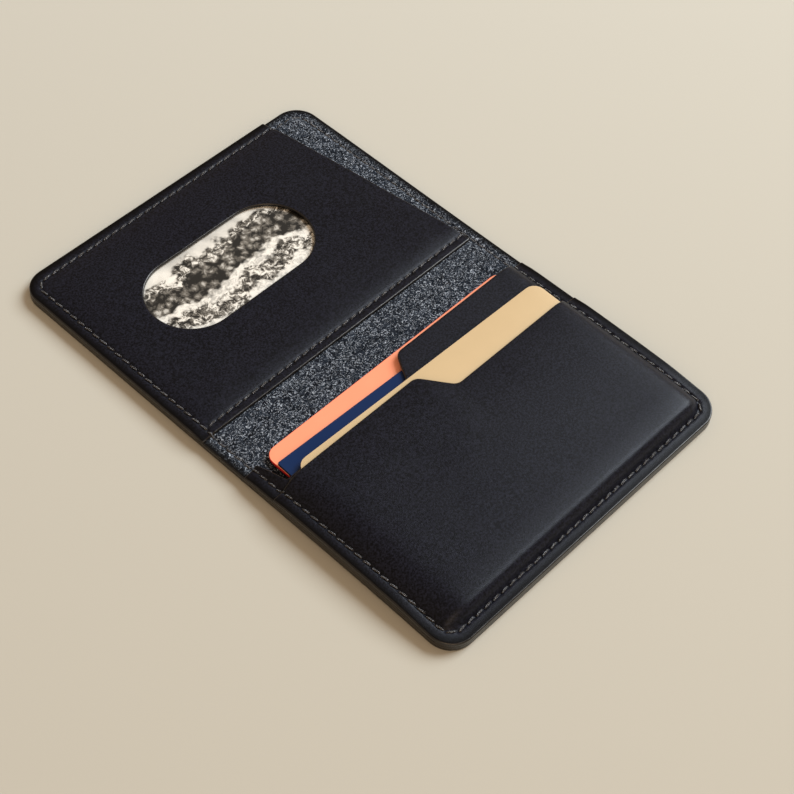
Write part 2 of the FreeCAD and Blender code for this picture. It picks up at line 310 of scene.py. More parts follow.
# Plans are closed outlines, anticlockwise.

leastArcSteps = 4                   # pieces of an arc, however small


def roundedOutline(corners, step):
    # Points about step apart round a polygon of (x, y, radius). An arc's centre is corner + bisector r /
    # sin(half), and its points are the spoke to its first end, turned.
    count = len(corners)
    arcs = []
    for i, (x, y, radius) in enumerate(corners):
        here = np.array((x, y), float)
        before = np.array(corners[i - 1][:2]) - here
        after = np.array(corners[(i + 1) % count][:2]) - here
        before /= np.linalg.norm(before)
        after /= np.linalg.norm(after)
        half = math.acos(np.clip(before @ after, -1, 1)) / 2
        if radius == 0:
            arcs.append(here[None, :])
            continue
        middle = (before + after) / np.linalg.norm(before + after)
        centre = here + middle * radius / math.sin(half)
        spoke = here + before * radius / math.tan(half) - centre
        side = np.sign(before[1] * after[0] - before[0] * after[1])
        turn = math.pi - 2 * half
        angles = side * np.linspace(0, turn, max(leastArcSteps, math.ceil(radius * turn / step)) + 1)
        arcs.append(centre + np.stack([np.cos(angles) * spoke[0] - np.sin(angles) * spoke[1],
                                       np.sin(angles) * spoke[0] + np.cos(angles) * spoke[1]], 1))
    runs = []
    for i, arc in enumerate(arcs):
        gap = arcs[(i + 1) % count][0] - arc[-1]
        steps = max(1, round(float(np.linalg.norm(gap)) / step))
        runs += [arc, arc[-1] + gap * np.arange(1, steps)[:, None] / steps]
    return np.vstack(runs)


def roundedBox(low, high, radius, step):
    # A rounded outline round the box between two corners.
    places = ((low[0], low[1]), (high[0], low[1]), (high[0], high[1]), (low[0], high[1]))
    return roundedOutline([(x, y, radius) for x, y in places], step)


def inwardNormals(loop):
    # The way from the point before to the point after, turned left and of length 1.
    way = np.roll(loop, -1, 0) - np.roll(loop, 1, 0)
    way /= np.linalg.norm(way, axis=1)[:, None]
    return np.stack([-way[:, 1], way[:, 0]], 1)


def depthInside(points, loops):
    # Distance to the nearest border, negative outside. From a place inside, a ray to the right crosses an
    # odd number of borders.
    result = np.empty(len(points))
    starts = np.vstack(loops)
    ends = np.vstack([np.roll(loop, -1, 0) for loop in loops])
    along = ends - starts
    for block in range(0, len(points), mesh["block"]):
        p = points[block:block + mesh["block"], None, :]
        t = np.clip(((p - starts) * along).sum(2) / (along ** 2).sum(1), 0, 1)
        near = np.hypot(*np.moveaxis(p - starts - t[..., None] * along, 2, 0)).min(1)
        above = (starts[:, 1] > p[..., 1]) != (ends[:, 1] > p[..., 1])
        rising = np.where(along[:, 1] == 0, 1, along[:, 1])
        cross = starts[:, 0] + (p[..., 1] - starts[:, 1]) * along[:, 0] / rising
        inside = (above & (cross > p[..., 0])).sum(1) % 2 == 1
        result[block:block + mesh["block"]] = np.where(inside, near, -near)
    return result


# Spacing of the points that the sheets are built on, finest across the stitches.
mesh = {
    "outline": 0.5,
    "grid": 1.1,
    "apart": 0.27,                  # least distance between two points
    "border": 0.5,                  # least distance from a plan's border
    "stitchStep": 0.48,
    "stitchRings": np.arange(2.2, 4.3, 0.26),
    "ringStep": 0.8,
    "rings": (0.8, 1.3, 1.8, 4.6, 5.0, 5.5, 6.1, 6.8, 7.6, 8.5, 9.5),
    "ringRadius": 1.0,
    "borderRings": (0.75, 1.2, 1.8),
    "rowLines": (-1.1, -0.8, -0.5, -0.25, 0, 0.25, 0.5, 0.8, 1.1),
    "rimSteps": 4,                  # points in the quarter circle of a rounded edge
    "block": 2000,                  # points measured at a time
    "same": 1e-7,                   # points closer than this are one
}
rim = {"start": 1.2, "width": 2.2}  # how far the burnish of the edge reaches inwards
onLine = 1e-6                       # a place this near to a line is on it


def walletRing(inset, step):
    # The wallet's outline moved inwards by the inset, its corner radius less by as much.
    x, y = halfWidth - inset, halfDepth - inset
    radius = max(size["corner"] - inset, mesh["ringRadius"])
    return roundedBox((-x, -y), (x, y), radius, step)


def sheetPoints(loops, extra=()):
    # Points inside a plan: rings along its border, the stitches and the edge, then an even grid.
    fine = [walletRing(inset, mesh["stitchStep"]) for inset in mesh["stitchRings"]]
    wide = [walletRing(inset, mesh["ringStep"]) for inset in mesh["rings"]]
    own = [loop + inwardNormals(loop) * away for loop in loops for away in mesh["borderRings"]]
    xs = np.arange(-halfWidth, halfWidth, mesh["grid"])
    ys = np.arange(-halfDepth, halfDepth, mesh["grid"])
    grid = np.stack(np.meshgrid(xs, ys), 2).reshape(-1, 2)
    points = np.vstack(own + fine + list(extra) + wide + [grid])
    cells = np.unique(np.round(points / mesh["apart"]).astype(int), axis=0, return_index=True)[1]
    points = points[np.sort(cells)]
    return points[depthInside(points, loops) > mesh["border"]]


def triangles(loops, points):
    # Delaunay triangles of the plan, those in a hole left out, each turned so that it faces up.
    borders = []
    start = 0
    for loop in loops:
        borders += [(start + i, start + (i + 1) % len(loop)) for i in range(len(loop))]
        start += len(loop)
    everything = np.vstack(loops + [points])
    found = delaunay_2d_cdt([Vector(p) for p in everything.tolist()], borders, [], 4, mesh["same"])
    if len(found[0]) != len(everything):
        raise ValueError("the plan crosses itself")
    faces = np.array(found[2])
    if len(loops) > 1:
        faces = faces[depthInside(everything[faces].mean(1), loops) > 0]
    a, b, c = everything[faces[:, 0]], everything[faces[:, 1]], everything[faces[:, 2]]
    turned = (b[:, 0] - a[:, 0]) * (c[:, 1] - a[:, 1]) < (b[:, 1] - a[:, 1]) * (c[:, 0] - a[:, 0])
    faces[turned] = faces[turned][:, ::-1]
    return faces


def inScene(name, data):
    # A new object in the scene.
    thing = bpy.data.objects.new(name, data)
    bpy.context.scene.collection.objects.link(thing)
    return thing


def meshObject(name, vertices, faces, finishes, finishOf=None, flat=None):
    # Vertices in millimetres to a mesh in metres, smooth but for the flat faces. Its attribute rim goes
    # smoothly from 1 at the wallet's outline to 0 inside.
    data = bpy.data.meshes.new(name)
    data.from_pydata((vertices / perMetre).tolist(), [], [list(face) for face in faces])
    shaded = np.ones(len(faces), bool)
    if flat is not None:
        shaded[flat] = False
    data.polygons.foreach_set("use_smooth", shaded)
    for finish in finishes:
        data.materials.append(finish)
    if finishOf is not None:
        data.polygons.foreach_set("material_index", finishOf)
    inset = insetOf(vertices[:, 0], vertices[:, 1])
    rimData = data.attributes.new("rim", "FLOAT", "POINT").data
    rimData.foreach_set("value", smooth(rim["start"] - inset / rim["width"]))
    data.validate()
    data.update()
    return inScene(name, data)


def sheetPiece(name, loops, points, top, bottom, topRound, bottomRound, finishes, seam=None):
    # A closed sheet: top and bottom skins over the plan, joined by walls whose two rims are quarter circles,
    # r (1 - sin) inwards and r (1 - cos) down or up. A border on y = seam stays square.
    tops, bottoms, rings = [], [], []
    angles = np.linspace(math.pi / 2, 0, mesh["rimSteps"])
    for loop in loops:
        normals = inwardNormals(loop)
        low = np.full(len(loop), bottomRound)
        high = topRound(loop[:, 0], loop[:, 1]) if callable(topRound) else np.full(len(loop), topRound)
        if seam is not None:
            onSeam = np.abs(loop[:, 1] - seam) < onLine
            ends = onSeam & (np.abs(loop[:, 0]) > halfWidth - onLine)
            normals[ends] = np.stack([-np.sign(loop[ends, 0]), np.zeros(ends.sum())], 1)
            normals[onSeam & ~ends] = 0
        highRim = loop + normals * high[:, None]
        lowRim = loop + normals * low[:, None]
        topZ, bottomZ = top(*highRim.T), bottom(*lowRim.T)
        stations = []
        for angle in angles[::-1]:
            flatPlace = loop + normals * (high * (1 - math.sin(angle)))[:, None]
            stations.append(np.column_stack([flatPlace, topZ - high * (1 - math.cos(angle))]))
        for angle in angles:
            flatPlace = loop + normals * (low * (1 - math.sin(angle)))[:, None]
            stations.append(np.column_stack([flatPlace, bottomZ + low * (1 - math.cos(angle))]))
        tops.append(highRim)
        bottoms.append(lowRim)
        rings.append(stations[1:-1])
    topPlaces = np.vstack(tops + [points])
    bottomPlaces = np.vstack(bottoms + [points])
    topFaces = triangles(tops, points)
    bottomFaces = triangles(bottoms, points)[:, ::-1]
    topVertices = np.column_stack([topPlaces, top(*topPlaces.T)])
    bottomVertices = np.column_stack([bottomPlaces, bottom(*bottomPlaces.T)])
    wallVertices, wallFaces, flat = [], [], []
    bottomBase = len(topVertices)
    base = bottomBase + len(bottomVertices)
    start = 0
    for loop, stations in zip(loops, rings):
        count = len(loop)
        numbers = np.arange(count)
        levels = [start + numbers]
        for station in stations:
            levels.append(base + numbers)
            wallVertices.append(station)
            base += count
        levels.append(bottomBase + start + numbers)
        for upper, lower in zip(levels, levels[1:]):
            quads = np.stack([lower, np.roll(lower, -1), np.roll(upper, -1), upper], 1)
            wallFaces.append(quads)
            onSeam = np.zeros(count, bool)
            if seam is not None:
                onSeam = np.abs(loop[:, 1] - seam) < onLine
                onSeam &= np.roll(onSeam, -1)
            flat.append(onSeam)
        start += count
    wallFaces = np.vstack(wallFaces)
    flat = np.concatenate([np.zeros(len(topFaces) + len(bottomFaces), bool)] + flat)
    vertices = np.vstack([topVertices, bottomVertices] + wallVertices)
    faces = topFaces.tolist() + (bottomFaces + bottomBase).tolist() + wallFaces.tolist()
    finishOf = np.zeros(len(faces), np.int32)
    finishOf[len(topFaces) + len(bottomFaces):] = 1
    finishOf[flat] = 0
    return meshObject(name, vertices, faces, finishes, finishOf, flat)


# Stitches: places along rows, the dents they press, and the threads.

thread = {
    "radius": 0.3,
    "length": 2.45,
    "slant": 9.0,                   # degrees from the row
    "sink": 0.14,                   # ends and middle below the leather they lie on
    "arch": 0.16,                   # middle above the ends
    "dome": 5.0,                    # higher is a blunter end
    "ways": 8,
    "stations": 9,
    "liningSink": 0.25,
    "flush": 0.32,                  # outside stitches above the wallet's underside
    "endGap": 0.7,                  # between a straight row's last stitch and its end
}
pressed = {
    "groove": 0.22,
    "grooveWidth": 0.42,
    "dimple": 0.2,
    "dimpleWidth": 0.4,
    "fade": 1.0,                    # length over which a groove ends
    "joined": 1.6,                  # pitches between stitches that are still one row
    "farthest": 1e3,
    "block": 3000,                  # points measured at a time
}


def edgeRow(side):
    # Places and headings of one panel's stitches: evenly along a leg, a quarter arc, across, and down again.
    start = spineHalf + size["pitch"] / 2
    leg = rowY - rowRadius - start
    turn = rowRadius * math.pi / 2
    across = rowX - rowRadius
    half = leg + turn + across
    count = round(2 * half / size["pitch"])
    run = 2 * half * np.arange(count + 1) / count
    mirror = np.where(run > half, 1.0, -1.0)
    run = np.where(run > half, 2 * half - run, run)
    angle = np.clip((run - leg) / rowRadius, 0, math.pi / 2)
    x = rowX - rowRadius + rowRadius * np.cos(angle) - np.clip(run - leg - turn, 0, None)
    y = np.minimum(start + run, rowY - rowRadius) + rowRadius * np.sin(angle)
    heading = math.pi / 2 + angle
    heading = np.where(mirror < 0, math.pi - heading, heading)
    return np.stack([mirror * x, side * y, heading * side], 1)


def panelRow(side):
    # One panel's stitches with the spine's before and after them, from the wallet's middle round and back.
    spine = np.array([(0.0, math.pi / 2), (side * size["pitch"], math.pi / 2)])
    left = np.column_stack([np.full(2, -rowX), spine])
    right = np.column_stack([np.full(2, rowX), spine])
    return np.vstack([left, edgeRow(side), right[::-1]])


def straightRow(left, right, y):
    # As many stitches as fit, one pitch apart and centred.
    count = int((right - left - size["pitch"] + thread["endGap"]) / size["pitch"])
    x = (left + right) / 2 + size["pitch"] * (np.arange(count + 1) - count / 2)
    return np.stack([x, np.full(len(x), y), np.zeros(len(x))], 1)


def holesOf(row):
    # The two ends of each stitch: its middle and half a pitch along its heading, forwards and back.
    reach = np.stack([np.cos(row[:, 2]), np.sin(row[:, 2])], 1) * size["pitch"] / 2
    return np.vstack([row[:, :2] + reach, row[:, :2] - reach])


def stitched(top, rows, depth=1.0):
    # Top - groove e^-(distance to the row's line)^2 - dimple e^-(distance to a hole)^2, with no groove past
    # the ends of a row.
    holes = np.vstack([holesOf(row) for row in rows])
    middles = np.vstack([row[:, :2] for row in rows])

    def height(x, y):
        sunk = np.zeros(len(x))
        for start in range(0, len(x), pressed["block"]):
            part = slice(start, start + pressed["block"])
            toHole = np.hypot(x[part, None] - holes[:, 0], y[part, None] - holes[:, 1]).min(1)
            toMiddle = np.hypot(x[part, None] - middles[:, 0], y[part, None] - middles[:, 1]).min(1)
            line = lineDistance(x[part], y[part], rows)
            groove = pressed["groove"] * np.exp(-(line / pressed["grooveWidth"]) ** 2)
            groove *= smooth((size["pitch"] - np.minimum(toHole, toMiddle)) / pressed["fade"])
            sunk[part] = groove + pressed["dimple"] * np.exp(-(toHole / pressed["dimpleWidth"]) ** 2)
        return top(x, y) - depth * sunk
    return height


def lineDistance(x, y, rows):
    # Distance to the nearest row of stitches, each taken as the chain of its stitch middles.
    best = np.full(len(x), pressed["farthest"])
    for row in rows:
        starts, ends = row[:-1, :2], row[1:, :2]
        joined = np.hypot(*(ends - starts).T) < pressed["joined"] * size["pitch"]
        starts, along = starts[joined], (ends - starts)[joined]
        fromX, fromY = x[:, None] - starts[:, 0], y[:, None] - starts[:, 1]
        t = np.clip((fromX * along[:, 0] + fromY * along[:, 1]) / (along ** 2).sum(1), 0, 1)
        best = np.minimum(best, np.hypot(fromX - t * along[:, 0], fromY - t * along[:, 1]).min(1))
    return best


def threadPiece(name, row, seat, side):
    # Each stitch is a closed tube along u from -1 to 1: radius r sqrt(1 - |u|^dome), middle at the leather +
    # side (arch (1 - u^2) - sink), turned from its row by the slant.
    ways, stations = thread["ways"], thread["stations"]
    u = np.sin(np.linspace(-math.pi / 2, math.pi / 2, stations))
    radius = thread["radius"] * np.sqrt(np.clip(1 - np.abs(u) ** thread["dome"], 0, 1))
    radius[[0, -1]] = 0
    heading = row[:, 2] + math.radians(thread["slant"])
    along = np.stack([np.cos(heading), np.sin(heading)], 1)
    across = np.stack([-along[:, 1], along[:, 0]], 1)
    places = row[:, None, :2] + along[:, None, :] * (u * thread["length"] / 2)[None, :, None]
    ground = seat(places[..., 0].ravel(), places[..., 1].ravel()).reshape(places.shape[:2])
    middle = ground + side * (thread["arch"] * (1 - u * u) - thread["sink"])[None, :]
    angle = np.arange(ways) * 2 * math.pi / ways
    ringX = radius[:, None] * np.cos(angle)
    ringZ = radius[:, None] * np.sin(angle)
    flatPlaces = places[:, :, None, :] + across[:, None, None, :] * ringX[None, :, :, None]
    heights = middle[:, :, None] + ringZ[None]
    body = np.concatenate([flatPlaces, heights[..., None]], 3)[:, 1:-1].reshape(len(row), -1, 3)
    ends = np.concatenate([places[:, [0, -1]], middle[:, [0, -1], None]], 2)
    vertices = np.concatenate([body, ends], 1)
    inner = stations - 2
    number = np.arange(inner * ways).reshape(inner, ways)
    ahead = np.roll(number, -1, 1)
    quads = np.stack([number[:-1], number[1:], ahead[1:], ahead[:-1]], 2).reshape(-1, 4)
    first = np.stack([np.full(ways, inner * ways), number[0], ahead[0]], 1)
    last = np.stack([np.full(ways, inner * ways + 1), ahead[-1], number[-1]], 1)
    offsets = np.arange(len(row))[:, None, None] * vertices.shape[1]
    tubes = (quads + offsets).reshape(-1, 4)
    caps = (np.vstack([first, last]) + offsets).reshape(-1, 3)
    return meshObject(name, vertices.reshape(-1, 3), tubes.tolist() + caps.tolist(), [materials["thread"]])


# Node helpers for the materials.

def plugged(tree, node, **sockets):
    # Each of the node's sockets, spaces written as underscores, takes a link or a constant.
    for socket, value in sockets.items():
        target = node.inputs[socket.replace("_", " ")]
        if isinstance(value, bpy.types.NodeSocket):
            tree.links.new(value, target)
        else:
            target.default_value = value
    return node


def newMaterial(name, roughness, specular):
    # A Principled material with a plain roughness and specular level.
    material = bpy.data.materials.new(name)
    material.use_nodes = True
    tree = material.node_tree
    shader = plugged(tree, tree.nodes["Principled BSDF"], Roughness=roughness, Specular_IOR_Level=specular)
    return material, tree, shader


def addNode(tree, kind, settings=None, **sockets):
    # A new node with its settings and sockets.
    node = tree.nodes.new(kind)
    for key, value in (settings or {}).items():
        setattr(node, key, value)
    return plugged(tree, node, **sockets)


def noise(tree, vector, scale, detail, roughness, distortion=0.0):
    # Fractal noise between 0 and 1, scale cells to the metre.
    node = addNode(tree, "ShaderNodeTexNoise", Vector=vector, Scale=scale, Detail=detail,
                   Roughness=roughness, Distortion=distortion)
    return node.outputs["Fac"]


def objectPlace(tree):
    # Place on the piece, in metres.
    return addNode(tree, "ShaderNodeTexCoord").outputs["Object"]


def blended(tree, kind, share, first, second):
    # First (1 - share) + second share, of two numbers or two colours, each a link or a constant.
    slots = {"FLOAT": (2, 3, 0), "RGBA": (6, 7, 2)}[kind]
    node = addNode(tree, "ShaderNodeMix", {"data_type": kind})
    for number, value in ((0, share), (slots[0], first), (slots[1], second)):
        if isinstance(value, bpy.types.NodeSocket):
            tree.links.new(value, node.inputs[number])
        else:
            node.inputs[number].default_value = (*value, 1.0) if isinstance(value, tuple) else value
    return node.outputs[slots[2]]


def timesPlus(tree, value, factor, added):
    # Value times a constant factor, plus another value.
    node = addNode(tree, "ShaderNodeMath", {"operation": "MULTIPLY_ADD"})
    tree.links.new(value, node.inputs[0])
    node.inputs[1].default_value = factor
    tree.links.new(added, node.inputs[2])
    return node.outputs[0]


def ramp(tree, value, stops):
    # Colours at places between 0 and 1, straight between them.
    node = addNode(tree, "ShaderNodeValToRGB", Fac=value)
    elements = node.color_ramp.elements
    while len(elements) < len(stops):
        elements.new(0.5)
    for element, (place, colour) in zip(elements, stops):
        element.position = place
        element.color = (*colour, 1.0)
    return node.outputs["Color"]


def spread(tree, value, low, high, fromLow=0.3, fromHigh=0.7):
    # The value's range from fromLow to fromHigh, stretched to low to high and cut off beyond.
    node = addNode(tree, "ShaderNodeMapRange", Value=value, From_Min=fromLow, From_Max=fromHigh,
                   To_Min=low, To_Max=high)
    return node.outputs["Result"]


def bump(tree, height, distance, strength=1.0, normal=None):
    # Normal of a height between 0 and 1 times the distance in metres, over another normal if there is one.
    node = addNode(tree, "ShaderNodeBump", Height=height, Distance=distance, Strength=strength)
    if normal is not None:
        plugged(tree, node, Normal=normal)
    return node.outputs["Normal"]


pebbles = {
    "cell": 0.00034,                # size in metres; the rest are shares of it
    "warpScale": 0.6,
    "warp": 0.8,
    "valley": 0.35,
    "fineScale": 2.6,
    "fineShare": 0.45,
}


def leatherGrain():
    # A group: height of a fine pebbled grain, the way to the edges of warped cells mixed with fine noise.
    group = bpy.data.node_groups.new("fineGrain", "ShaderNodeTree")
    group.interface.new_socket("Vector", in_out="INPUT", socket_type="NodeSocketVector")
    group.interface.new_socket("Height", in_out="OUTPUT", socket_type="NodeSocketFloat")
    start = group.nodes.new("NodeGroupInput").outputs["Vector"]
    end = group.nodes.new("NodeGroupOutput")
    cell = pebbles["cell"]
    warp = addNode(group, "ShaderNodeTexNoise", Vector=start, Scale=pebbles["warpScale"] / cell, Detail=2.0)
    warped = addNode(group, "ShaderNodeVectorMath", {"operation": "MULTIPLY_ADD"})
    group.links.new(warp.outputs["Color"], warped.inputs[0])
    warped.inputs[1].default_value = (cell * pebbles["warp"],) * 3
    group.links.new(start, warped.inputs[2])
    cells = addNode(group, "ShaderNodeTexVoronoi", {"feature": "DISTANCE_TO_EDGE"},
                    Vector=warped.outputs["Vector"], Scale=1 / cell)
    pebble = spread(group, cells.outputs["Distance"], 0.0, 1.0, 0.0, pebbles["valley"])
    fine = addNode(group, "ShaderNodeTexNoise", Vector=start, Scale=pebbles["fineScale"] / cell, Detail=3.0)
    height = blended(group, "FLOAT", pebbles["fineShare"], pebble, fine.outputs["Fac"])
    group.links.new(height, end.inputs["Height"])
    return group


def rimShare(tree):
    # The mesh's own attribute: 1 at the wallet's outline, 0 inside.
    return addNode(tree, "ShaderNodeAttribute", {"attribute_name": "rim"}).outputs["Fac"]


grainGroup = leatherGrain()

burnish = {
    "dark": (0.0030, 0.0026, 0.0024),
    "light": (0.010, 0.0082, 0.0070),
    "gloss": 0.52,
    "roughness": (0.20, 0.34),
    "streakScale": 420.0,
    "streakSquash": 9.0,            # streaks run along the layers
    "depth": 0.00004,
}

leather = {
    "dark": (0.0016, 0.0018, 0.0032),
    "light": (0.0118, 0.0131, 0.0228),
    "tint": (0.86, 0.92, 1.0, 1.0),  # of the reflections
    "gloss": 0.17,
    "rimGloss": 0.07,
    "roughness": (0.28, 0.39),
    "rimRoughness": 0.30,
    "grainDepth": 0.000022,
    # painted shade: share by which the colour darkens in the grain's valleys
    "valleyShade": 0.12,              # how much the pebbles show in the colour
    "cloudScale": 45.0,
    "poreScale": 1900.0,
}


def leatherMaterial(name, tone=1.0):
    # Satin black leather: fine grain in the normal and in the tone, painted shade in the grain's valleys,
    # soft clouds in the gloss, a rubbed rim.
    material, tree, shader = newMaterial(name, 0.4, leather["gloss"])
    place = objectPlace(tree)
    rubbed = rimShare(tree)
    clouds = noise(tree, place, leather["cloudScale"], 4.0, 0.6)
    pores = noise(tree, place, leather["poreScale"], 4.0, 0.7)
    grain = addNode(tree, "ShaderNodeGroup", {"node_tree": grainGroup}, Vector=place).outputs["Height"]
    # Random tone from the pores, plus painted shade where the grain is low.
    shade = timesPlus(tree, grain, leather["valleyShade"], pores)
    dark = tuple(part * tone for part in leather["dark"])
    light = tuple(part * tone for part in leather["light"])
    colour = blended(tree, "RGBA", rubbed, ramp(tree, shade, [(0.46, dark), (0.66, light)]), burnish["dark"])
    roughness = spread(tree, clouds, *leather["roughness"])
    roughness = blended(tree, "FLOAT", rubbed, roughness, leather["rimRoughness"])
    gloss = blended(tree, "FLOAT", rubbed, leather["gloss"], leather["rimGloss"])
    plugged(tree, shader, Base_Color=colour, Roughness=roughness, Specular_IOR_Level=gloss,
            Specular_Tint=leather["tint"], Normal=bump(tree, grain, leather["grainDepth"]))
    return material


def burnishedMaterial():
    # The rubbed cut edges: dark brown-black, smoother, with faint streaks along the layers.
    material, tree, shader = newMaterial("burnishedEdge", 0.3, burnish["gloss"])
    stretched = addNode(tree, "ShaderNodeMapping", Vector=objectPlace(tree),
                        Scale=(1, 1, burnish["streakSquash"]))
    streaks = noise(tree, stretched.outputs["Vector"], burnish["streakScale"], 4.0, 0.6)
    colour = ramp(tree, streaks, [(0.35, burnish["dark"]), (0.7, burnish["light"])])
    plugged(tree, shader, Base_Color=colour, Roughness=spread(tree, streaks, *burnish["roughness"]),
            Normal=bump(tree, streaks, burnish["depth"]))
    return material


suede = {
    # shadow: painted shade where the mottle presses the nap down in the normal
    "shadow": (0.0030, 0.0045, 0.0080),
    "middle": (0.017, 0.024, 0.037),
    "fibre": (0.47, 0.54, 0.64),
    "fibreShare": 0.9,
    "gloss": 0.12,
    "mottleScale": 560.0,
    "fibreScale": 880.0,
    "napDepth": 0.00040,
    "fibreDepth": 0.00024,
    "napStrength": 0.7,
}


def suedeMaterial():
    # Rough flesh side: painted shade in the nap's hollows, blue-grey nap, scattered pale fibres, deep nap in
    # the normal.
    material, tree, shader = newMaterial("suedeLining", 0.95, suede["gloss"])
    place = objectPlace(tree)
    mottle = noise(tree, place, suede["mottleScale"], 6.0, 0.80, 1.2)
    fibres = noise(tree, place, suede["fibreScale"], 4.0, 0.70, 3.0)
    base = ramp(tree, mottle, [(0.44, suede["shadow"]), (0.57, suede["middle"])])
    pale = spread(tree, fibres, 0.0, suede["fibreShare"], 0.54, 0.63)
    napped = blended(tree, "RGBA", pale, base, suede["fibre"])
    colour = blended(tree, "RGBA", rimShare(tree), napped, burnish["dark"])
    nap = bump(tree, mottle, suede["napDepth"], suede["napStrength"])
    nap = bump(tree, fibres, suede["fibreDepth"], suede["napStrength"], nap)
    plugged(tree, shader, Base_Color=colour, Normal=nap)
    return material


twist = {
    # Colours of the twist: painted shade where it is low, the strand's own black, and painted glints where
    # it is high.
    "twistShade": (0.005, 0.005, 0.006),
    "strand": (0.042, 0.043, 0.049),
    "paintedGlint": (0.42, 0.46, 0.54),
    "gloss": 0.9,
    "scale": 2600.0,
    "depth": 0.00035,
}


def threadMaterial():
    # Black waxed thread: a fine twist in the normal; its colour has painted shade where the twist is low and
    # painted glints, pale flecks, where it is high.
    material, tree, shader = newMaterial("waxedThread", 0.24, twist["gloss"])
    fuzz = noise(tree, objectPlace(tree), twist["scale"], 4.0, 0.7, 1.5)
    colour = ramp(tree, fuzz, [(0.45, twist["twistShade"]), (0.58, twist["strand"]), (0.68, twist["paintedGlint"])])
    plugged(tree, shader, Base_Color=colour, Normal=bump(tree, fuzz, twist["depth"]))
    return material


cardLook = {
    "coral": {"face": (0.99, 0.365, 0.215), "edge": (0.70, 0.012, 0.020)},
    "navy": {"face": (0.0018, 0.0205, 0.092), "edge": (0.006, 0.016, 0.05)},
    "gold": {"face": (0.62, 0.478, 0.282), "edge": (0.86, 0.68, 0.44)},
}
plastic = {"gloss": 0.25, "dim": 0.95, "cloudScale": 90.0, "roughness": (0.38, 0.48), "texture": 3200.0,
           "depth": 0.000006}


def cardMaterial(name, colour):
    # Satin plastic with faint unevenness in tone and gloss.
    material, tree, shader = newMaterial(name, 0.42, plastic["gloss"])
    place = objectPlace(tree)
    clouds = noise(tree, place, plastic["cloudScale"], 3.0, 0.5)
    texture = noise(tree, place, plastic["texture"], 2.0, 0.5)
    dim = tuple(part * plastic["dim"] for part in colour)
    plugged(tree, shader, Base_Color=ramp(tree, clouds, [(0.3, dim), (0.7, colour)]),
            Roughness=spread(tree, clouds, *plastic["roughness"]),
            Normal=bump(tree, texture, plastic["depth"]))
    return material


printLook = {
    "dark": (0.012, 0.011, 0.009),
    "grey": (0.17, 0.16, 0.14),
    "pale": (0.51, 0.51, 0.48),
    "bright": (0.86, 0.86, 0.81),
    "foot": 0.039,                  # the landscape's foot and height, in metres
    "height": 0.029,
    "wander": 0.020,                # how far the borders between its layers rise and fall
    "wanderScale": 75.0,
    "tuftScale": 560.0,
    "crownScale": 430.0,
    "crownShade": -0.55,
    "softness": 0.015,
    "layers": (("dunes", 0.16), ("beach", 0.38), ("trees", 0.46), ("dunes", 0.72), ("sky", 0.82)),
}


def printMaterial():
    # A generic black-and-white landscape on matt paper, from its foot up: a beach, tufted dunes, a lake as
    # pale as the beach, round trees, dunes, a sky. A layer begins at its share of height plus slow noise.
    material, tree, shader = newMaterial("landscapePrint", 0.55, 0.3)
    place = objectPlace(tree)
    acrossPrint = addNode(tree, "ShaderNodeSeparateXYZ", Vector=place).outputs["Y"]
    wander = noise(tree, place, printLook["wanderScale"], 4.0, 0.55)
    height = timesPlus(tree, wander, printLook["wander"], acrossPrint)
    share = spread(tree, height, 0.0, 1.0, printLook["foot"], printLook["foot"] + printLook["height"])
    grass = noise(tree, place, printLook["tuftScale"], 6.0, 0.72, 0.8)
    crowns = addNode(tree, "ShaderNodeTexVoronoi", {"feature": "F1"}, Vector=place,
                     Scale=printLook["crownScale"])
    shadedCrown = timesPlus(tree, crowns.outputs["Distance"], printLook["crownShade"], grass)
    dark, grey, pale, bright = (printLook[tone] for tone in ("dark", "grey", "pale", "bright"))
    looks = {
        "beach": ramp(tree, grass, [(0.40, pale), (0.55, bright)]),
        "dunes": ramp(tree, grass, [(0.42, dark), (0.51, grey), (0.60, bright)]),
        "trees": ramp(tree, shadedCrown, [(0.16, dark), (0.34, grey), (0.46, pale)]),
        "sky": ramp(tree, wander, [(0.40, pale), (0.60, bright)]),
    }
    colour = looks["beach"]
    for layer, begins in printLook["layers"]:
        soft = printLook["softness"]
        passed = spread(tree, share, 0.0, 1.0, begins - soft, begins + soft)
        colour = blended(tree, "RGBA", passed, colour, looks[layer])
    plugged(tree, shader, Base_Color=colour)
    return material


materials = {
    "outer": leatherMaterial("outerLeather", 0.9),
    "pocket": leatherMaterial("pocketLeather"),
    "edge": burnishedMaterial(),
    "suede": suedeMaterial(),
    "thread": threadMaterial(),
    "print": printMaterial(),
}
print("materials ready")

# The plan of each sheet.

